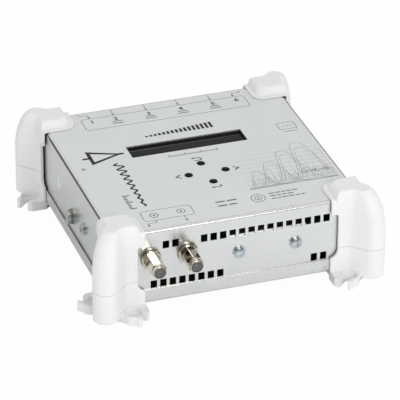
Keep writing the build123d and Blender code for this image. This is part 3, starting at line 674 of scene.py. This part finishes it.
def print_ports():
    """Frames, arrows and tick rows that belong to the sockets."""
    art = Print()
    line = 0.42
    head = 2.3
    inner, outer = 56.0, 62.6
    edge, bend, frame_top, tip = 88.0, 84.6, 81.5, 79.6
    art.box((-63.0, 62.0), (63.5, 79.0), 2.2, line)
    for x in PORT_X[1:-1]:
        art.stroke([(x, edge), (x, frame_top)], line)
        art.head((x, tip), (0, -1), head)
    for side in (-1, 1):
        art.stroke([(side * outer, edge), (side * outer, bend), (side * inner, bend),
                    (side * inner, frame_top)], line)
        art.head((side * inner, tip), (0, -1), head)
    frame_low, bend, end, tip = -78.0, -81.2, -83.4, -85.6
    art.box((-63.5, frame_low), (-27.0, -64.3), 2.6, line)
    art.stroke([(-inner, frame_low), (-inner, bend), (-outer, bend), (-outer, end)], line)
    art.head((-outer, tip), (0, -1), head)
    art.stroke([(-35.0, frame_low), (-35.0, end)], line)
    art.head((-35.0, tip), (0, -1), head)
    for x in PORT_X[1:-1]:
        for row, reach in ((69.9, 3.6), (66.9, 4.4)):
            art.stroke([(x - reach, row), (x + reach, row)], 1.0)
    row = -71.2
    for x in (-55.0, -35.2):
        art.ring((x, row), 2.9, 0.6)
        art.dot((x, row), 0.9)
    art.piece("print_ports", INK_MID)


def print_levels():
    """Bars of a level scale over the display, a wave that grows beside it, an amplifier sign and
    two small scales."""
    art = Print()
    count = 16
    foot = 39.0
    half = 1.05
    for i in range(count):
        x = -24.5 + 50.0 * i / (count - 1)
        height = 1.6 + 7.0 * (i + 1) / count
        art.bar((x - half, foot), (x + half, foot + height))
    wave = []
    steps = 220
    turns = 9
    for i in range(steps + 1):
        share = i / steps
        y = -57.0 + 65.0 * share
        reach = 0.7 + 2.5 * share
        wave.append((-56.8 + reach * sin(2 * pi * turns * share), y))
    art.stroke(wave, 1.6)
    back, row = -73.0, 21.2
    art.stroke([(back, 13.0), (back, 29.5), (-52.0, row)], 2.7, closed=True)
    art.stroke([(-79.0, row), (back, row)], 2.3)
    art.stroke([(-53.0, row), (-48.0, row)], 2.3)
    art.piece("print_levels", INK_DARK)
    small = Print()
    left = -68.2
    for i in range(9):
        y = -58.0 + 2.3 * i
        small.bar((left, y), (left + (5.2 if i % 4 == 0 else 2.6), y + 1.05))
    half = 0.42
    for i in range(19):
        x = -18.0 + 2.0 * i
        small.bar((x - half, 5.2), (x + half, 7.8 if i % 6 == 0 else 6.9))
    small.piece("print_scales", INK_DARK)


def print_keys():
    """Plain signs beside the push buttons."""
    art = Print()
    line = 0.85
    head = 2.3
    for x in (-19.6, 20.0):
        side = 1 if x > 0 else -1
        art.stroke([(x, -22.2), (x + 3.8 * side, -24.6), (x + 0.2 * side, -27.0)], 0.95)
    art.ring((0.6, -3.6), 1.9, line, start=-90, end=90, steps=16)
    art.stroke([(0.6, -5.5), (-3.4, -5.5)], line)
    art.stroke([(0.6, -1.7), (-3.0, -1.7)], line)
    art.head((-4.8, -1.7), (-1, 0), head)
    art.stroke([(3.4, -43.8), (3.4, -46.4), (-2.0, -46.4)], line)
    art.head((-4.2, -46.4), (-1, 0), head)
    art.piece("print_keys", INK_DARK)


def band_curve(centre, width, height, floor, low, high):
    """Points of a smooth pass-band hump over a line."""
    path = []
    steps = 60
    for i in range(steps + 1):
        x = low + (high - low) * i / steps
        path.append((x, floor + height / (1 + ((x - centre) / width) ** 4)))
    return path


def print_bands():
    """Fine line pattern: a grid with pass-band humps and a comb of carriers."""
    art = Print()
    left, right, low, high = 21.0, 88.0, -58.0, 1.0
    hair = 0.16
    for i in range(9):
        y = low + (high - 12.0 - low) * i / 8
        start = left + 5.5 * (i / 8) ** 2
        art.stroke([(start, y), (right, y)], hair)
    for i in range(12):
        x = 27.0 + 61.0 * i / 11
        art.stroke([(x, low), (x, low + 10.0 + 32.0 * (i / 11) ** 0.7)], hair)
    humps = ((33.0, 6.0, 24.0), (46.0, 8.0, 34.0), (60.0, 8.5, 47.0), (74.0, 9.0, 56.0))
    for centre, width, height in humps:
        art.stroke(band_curve(centre, width, height, low, left, right), 0.34)
        art.stroke(band_curve(centre, width * 0.8, height * 0.86, low, left, right), 0.2)
    for i in range(34):
        x = 25.0 + 1.85 * i
        reach = 6.0 + 15.0 * abs(sin(i * 1.7)) * (0.5 + i / 60)
        art.stroke([(x, low), (x, low + reach)], 0.3)
    art.piece("print_bands", INK_LIGHT)


def print_signs():
    """Small signs near the edges of the film."""
    art = Print()
    art.box((71.5, 19.0), (84.5, 29.0), 1.2, 0.45)
    for i in range(3):
        art.dot((75.0 + 3.0 * i, 24.0), 0.55)
    art.stroke([(73.0, 15.6), (84.0, 15.6)], 0.6)
    eye = (22.0, -71.0)
    art.ring(eye, 5.1, 0.55)
    art.ring(eye, 2.4, 0.6)
    art.dot(eye, 0.7)
    for row, start, end in ((-67.3, 31.0, 52.5), (-71.0, 31.0, 49.0), (-74.7, 31.0, 57.0)):
        x = start
        index = 0
        while x < end:
            length = 2.2 + 2.1 * abs(sin(index * 2.3 + row))
            art.stroke([(x, row), (min(end, x + length), row)], 1.1)
            x += length + 0.9
            index += 1
    for row, start, end in ((-67.6, -8.5, 7.0), (-73.2, -8.5, 5.5)):
        art.stroke([(start, row), (start + 7.0, row)], 1.5)
        art.stroke([(start + 8.4, row), (end, row)], 1.5)
    x, top, step, line = -82.5, 7.2, 1.1, 0.5
    art.stroke([(x, 9.6), (x, top)], line)
    for i, reach in enumerate((2.2, 1.4, 0.6)):
        art.stroke([(x - reach, top - step * i), (x + reach, top - step * i)], line)
    middle, minus, plus, row = 74.6, 66.4, 83.0, -45.0
    radius, arm, line = 2.0, 1.0, 0.4
    art.ring((middle, row), radius, 0.5, start=40, end=320, steps=26)
    art.dot((middle, row), 0.8)
    art.stroke([(76.2, row), (81.0, row)], 0.45)
    art.stroke([(72.6, row), (68.4, row)], 0.45)
    for x in (minus, plus):
        art.ring((x, row), radius, line)
        art.stroke([(x - arm, row), (x + arm, row)], line)
    art.stroke([(plus, row - arm), (plus, row + arm)], line)
    art.piece("print_signs", INK_MID)


def print_earth():
    """Earth sign on the left wall, further back than the ground screw."""
    art = Print(level=INK_RISE)
    step = 2.2
    art.stroke([(0.0, 5.0), (0.0, 0.0)], 1.5)
    for i, reach in enumerate((5.0, 3.4, 1.8)):
        art.stroke([(-reach, -step * i), (reach, -step * i)], 0.95)
    art.points = [(-HALF_X - rise, EARTH_Y - along, EARTH_Z + up) for along, up, rise in art.points]
    art.piece("print_earth", INK_WHITE)


def add_numbers():
    """Port numbers 1 to 6 in the rear frame."""
    for index, x in enumerate(PORT_X):
        curve = bpy.data.curves.new("number_%d" % (index + 1), "FONT")
        curve.body = str(index + 1)
        curve.size = NUMBER_SIZE * MM
        curve.align_x = "CENTER"
        curve.offset = NUMBER_BOLD * MM
        text = bpy.data.objects.new("number_source", curve)
        bpy.context.scene.collection.objects.link(text)
        bpy.context.view_layer.update()
        shaped = text.evaluated_get(bpy.context.evaluated_depsgraph_get())
        mesh = bpy.data.meshes.new_from_object(shaped)
        bpy.data.objects.remove(text)
        mesh.materials.clear()
        mesh.materials.append(INK_DARK)
        piece = bpy.data.objects.new("print_number_%d" % (index + 1), mesh)
        bpy.context.scene.collection.objects.link(piece)
        piece.location = Vector((x, NUMBER_Y, FILM_TOP + INK_RISE)) * MM
        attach(piece, "case")


# Stage, light and camera

# Floor, in metres: how white the camera sees it, and what metal sees by the distance from a point
FLOOR_HALF = 6.0
FLOOR_ALBEDO = (0.92, 0.92, 0.92, 1)
FLOOR_TO_CAMERA = 0.97
FLOOR_CENTRE = (0.05, -0.10, 0.0)
FLOOR_STOPS = [(0.14, (0.96, 0.96, 0.95)), (0.20, (0.80, 0.81, 0.80)), (0.32, (0.74, 0.74, 0.73)),
               (0.40, (0.32, 0.30, 0.26)), (0.50, (0.12, 0.10, 0.07))]

# Tent: its strength, and its tint by height, where 0.5 is level and 1 is straight up
TENT_LIGHT = 1.06
TENT_STOPS = [(0.5, (1.0, 1.0, 1.0)), (1.0, (0.64, 0.65, 0.67))]

# Room that metal sees, by degrees of turn from the level behind over the top to the front
ROOM_STOPS = [(0, (0.12, 0.10, 0.07)), (18, (0.16, 0.14, 0.10)), (26, (0.86, 0.87, 0.86)),
              (44, (0.92, 0.93, 0.92)), (52, (0.28, 0.26, 0.18)), (66, (0.32, 0.30, 0.22)),
              (74, (1.0, 1.0, 1.0)), (104, (1.0, 1.0, 1.0)), (118, (0.22, 0.19, 0.14)),
              (180, (0.12, 0.10, 0.07))]

# Key lamp, in metres and watts
KEY_PLACE = (0.20, -1.42, 0.76)
KEY_AIM = (0, 0, 0.03)
KEY_SIZE = (0.50, 0.50)
KEY_POWER = 6

# Camera: angles in degrees, the point it looks at in millimetres, its distance in metres
CAMERA_TURN = -18.865
CAMERA_RISE = 29.562
CAMERA_ROLL = 0.261
CAMERA_AIM = (-1.02, -12.02, 34.0)
CAMERA_DISTANCE = 2.25808
CAMERA_LENS = 281.905


def add_floor():
    """Pale floor: white to the camera, while metal sees it with its shadow, dimmer further off."""
    half = FLOOR_HALF
    mesh = bpy.data.meshes.new("floor")
    mesh.from_pydata([(-half, -half, 0), (half, -half, 0), (half, half, 0), (-half, half, 0)], [],
                     [(0, 1, 2, 3)])
    floor = bpy.data.objects.new("floor", mesh)
    bpy.context.scene.collection.objects.link(floor)
    material = bpy.data.materials.new("floor")
    material.use_nodes = True
    tree = material.node_tree
    tree.nodes.clear()
    out = tree.nodes.new("ShaderNodeOutputMaterial")
    diffuse = tree.nodes.new("ShaderNodeBsdfDiffuse")
    glow = tree.nodes.new("ShaderNodeEmission")
    rays = tree.nodes.new("ShaderNodeLightPath")
    place = tree.nodes.new("ShaderNodeTexCoord")
    reach = tree.nodes.new("ShaderNodeVectorMath")
    reach.operation = "DISTANCE"
    reach.inputs[1].default_value = FLOOR_CENTRE
    fade = tree.nodes.new("ShaderNodeValToRGB")
    set_stops(fade, FLOOR_STOPS)
    tint = tree.nodes.new("ShaderNodeMix")
    tint.data_type = "RGBA"
    pale, faded = [s for s in tint.inputs if s.type == "RGBA"]
    pale.default_value = FLOOR_ALBEDO
    seen = tree.nodes.new("ShaderNodeMath")
    seen.operation = "MULTIPLY"
    seen.inputs[1].default_value = FLOOR_TO_CAMERA
    mix = tree.nodes.new("ShaderNodeMixShader")
    tree.links.new(place.outputs["Object"], reach.inputs[0])
    tree.links.new(reach.outputs["Value"], fade.inputs["Fac"])
    tree.links.new(fade.outputs["Color"], faded)
    tree.links.new(rays.outputs["Is Glossy Ray"], tint.inputs["Factor"])
    tree.links.new([s for s in tint.outputs if s.type == "RGBA"][0], diffuse.inputs["Color"])
    tree.links.new(rays.outputs["Is Camera Ray"], seen.inputs[0])
    tree.links.new(seen.outputs[0], mix.inputs["Fac"])
    tree.links.new(diffuse.outputs[0], mix.inputs[1])
    tree.links.new(glow.outputs[0], mix.inputs[2])
    tree.links.new(mix.outputs[0], out.inputs["Surface"])
    mesh.materials.append(material)


def background(tree, value, stops, strength):
    """Background whose colour follows a value from 0 to 1."""
    ramp = tree.nodes.new("ShaderNodeValToRGB")
    set_stops(ramp, stops)
    back = tree.nodes.new("ShaderNodeBackground")
    back.inputs["Strength"].default_value = strength
    tree.links.new(value, ramp.inputs["Fac"])
    tree.links.new(ramp.outputs["Color"], back.inputs["Color"])
    return back.outputs[0]


def direction_values(tree):
    """Two values from 0 to 1 of a direction: its height, and its turn from the level behind
    the object over the top to the level in front."""
    place = tree.nodes.new("ShaderNodeTexCoord")
    split = tree.nodes.new("ShaderNodeSeparateXYZ")
    level = tree.nodes.new("ShaderNodeMapRange")
    level.inputs["From Min"].default_value = -1.0
    arc = tree.nodes.new("ShaderNodeMath")
    arc.operation = "ARCTAN2"
    turn = tree.nodes.new("ShaderNodeMath")
    turn.operation = "DIVIDE"
    turn.inputs[1].default_value = pi
    tree.links.new(place.outputs["Generated"], split.inputs[0])
    tree.links.new(split.outputs["Z"], level.inputs["Value"])
    tree.links.new(split.outputs["Z"], arc.inputs[0])
    tree.links.new(split.outputs["Y"], arc.inputs[1])
    tree.links.new(arc.outputs[0], turn.inputs[0])
    return level.outputs["Result"], turn.outputs[0]


def add_world():
    """White for the camera, an even tent for the light, and for mirrored rays a studio: a
    backdrop behind, a soft box overhead and a dim warm room in front."""
    world = bpy.data.worlds.new("studio")
    bpy.context.scene.world = world
    world.use_nodes = True
    tree = world.node_tree
    tree.nodes.clear()
    out = tree.nodes.new("ShaderNodeOutputWorld")
    back = tree.nodes.new("ShaderNodeBackground")
    back.inputs["Color"].default_value = (1, 1, 1, 1)
    height, turn = direction_values(tree)
    tent = background(tree, height, TENT_STOPS, TENT_LIGHT)
    room = background(tree, turn, [(angle / 180, color) for angle, color in ROOM_STOPS], 1.0)
    rays = tree.nodes.new("ShaderNodeLightPath")
    inner = tree.nodes.new("ShaderNodeMixShader")
    mix = tree.nodes.new("ShaderNodeMixShader")
    tree.links.new(rays.outputs["Is Glossy Ray"], inner.inputs["Fac"])
    tree.links.new(tent, inner.inputs[1])
    tree.links.new(room, inner.inputs[2])
    tree.links.new(rays.outputs["Is Camera Ray"], mix.inputs["Fac"])
    tree.links.new(inner.outputs[0], mix.inputs[1])
    tree.links.new(back.outputs[0], mix.inputs[2])
    tree.links.new(mix.outputs[0], out.inputs["Surface"])


def add_key_lamp():
    light = bpy.data.lights.new("key", "AREA")
    light.shape = "RECTANGLE"
    light.size, light.size_y = KEY_SIZE
    light.energy = KEY_POWER
    lamp = bpy.data.objects.new("key", light)
    bpy.context.scene.collection.objects.link(lamp)
    lamp.location = KEY_PLACE
    direction = Vector(KEY_AIM) - Vector(KEY_PLACE)
    lamp.rotation_euler = direction.to_track_quat("-Z", "Y").to_euler()


def add_camera():
    azimuth = radians(CAMERA_TURN)
    elevation = radians(CAMERA_RISE)
    roll = radians(CAMERA_ROLL)
    back = Vector((sin(azimuth) * cos(elevation), -cos(azimuth) * cos(elevation), sin(elevation)))
    level = Vector((cos(azimuth), sin(azimuth), 0))
    above = back.cross(level)
    right = cos(roll) * level + sin(roll) * above
    up = cos(roll) * above - sin(roll) * level
    camera = bpy.data.cameras.new("camera")
    camera.sensor_width = 36
    camera.lens = CAMERA_LENS
    camera.clip_end = 100
    lens = bpy.data.objects.new("camera", camera)
    bpy.context.scene.collection.objects.link(lens)
    matrix = Matrix((right, up, back)).transposed().to_4x4()
    matrix.translation = Vector(CAMERA_AIM) * MM + back * CAMERA_DISTANCE
    lens.matrix_world = matrix
    bpy.context.scene.camera = lens


dress_nodes()
add_sockets()
print_ports()
print_levels()
print_keys()
print_bands()
print_signs()
print_earth()
add_numbers()
add_floor()
add_world()
add_key_lamp()
add_camera()
bpy.context.scene.view_settings.view_transform = "Standard"
